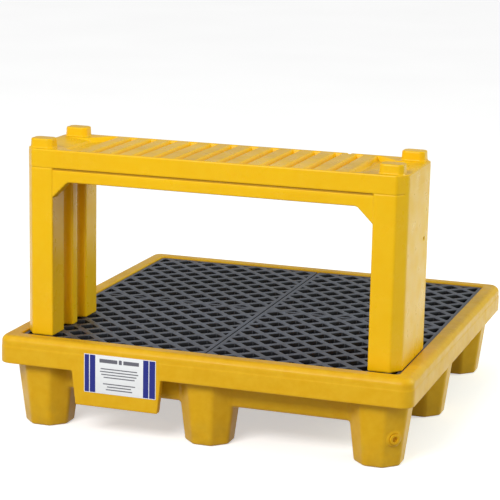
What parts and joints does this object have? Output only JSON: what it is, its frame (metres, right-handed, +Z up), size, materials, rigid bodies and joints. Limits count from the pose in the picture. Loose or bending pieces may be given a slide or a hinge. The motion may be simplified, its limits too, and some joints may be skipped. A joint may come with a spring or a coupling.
{
  "type": "spill containment pallet with bucket shelf",
  "caption": "Low square sump pallet on hollow legs with lift-out diamond mesh grates and a stackable bucket shelf standing on them.",
  "frame": {"origin": "on the floor under the centre of the pallet", "axes": "+X to the right along the shelf, -Y to the front where the label is, +Z up"},
  "size_m": [1.346, 1.3471, 0.92],
  "materials": {
    "yellow_pallet": "satin rotomoulded polyethylene",
    "yellow_shelf": "satin rotomoulded polyethylene",
    "yellow_plug": "satin moulded polyethylene",
    "black_grate": "satin moulded polyethylene",
    "grey_support": "matt moulded polyethylene",
    "label": "printed vinyl film",
    "seal_rubber": "matt"
  },
  "bodies": {
    "pallet": {"pallet_body": "yellow_pallet", "label": "label", "grate_support_front_left": "grey_support", "grate_support_centre_left": "grey_support", "grate_support_back_left": "grey_support", "grate_support_front_middle": "grey_support", "grate_support_centre_middle": "grey_support", "grate_support_back_middle": "grey_support", "grate_support_front_right": "grey_support", "grate_support_centre_right": "grey_support", "grate_support_back_right": "grey_support"},
    "left_grate": {"left_grate": "black_grate"},
    "right_grate": {"right_grate": "black_grate"},
    "shelf": {"bucket_shelf": "yellow_shelf"},
    "plug_seal": {"drain_plug_seal": "seal_rubber"},
    "plug": {"drain_plug": "yellow_plug"}
  },
  "joints": [
    {"name": "left_grate_lift", "type": "slide", "parent": "pallet", "child": "left_grate", "axis": [0, 0, 1], "range_m": [0, 0.25]},
    {"name": "right_grate_lift", "type": "slide", "parent": "pallet", "child": "right_grate", "axis": [0, 0, 1], "range_m": [0, 0.25]},
    {"name": "shelf_lift", "type": "slide", "parent": "left_grate", "child": "shelf", "axis": [0, 0, 1], "range_m": [0, 0.2]},
    {"name": "plug_draw", "type": "slide", "parent": "pallet", "child": "plug_seal", "axis": [0.7071, -0.7071, 0], "range_m": [0, 0.022]},
    {"name": "plug_turn", "type": "hinge", "parent": "plug_seal", "child": "plug", "pos_m": [0.6098, -0.6098, 0.093], "axis": [0.7071, -0.7071, 0], "range_deg": [0, 3961]}
  ],
  "couplings": [
    {"joint": "right_grate_lift", "follows": "left_grate_lift", "ratio": 1},
    {"joint": "plug_turn", "follows": "plug_draw", "rad_per_m": 3141.6}
  ]
}
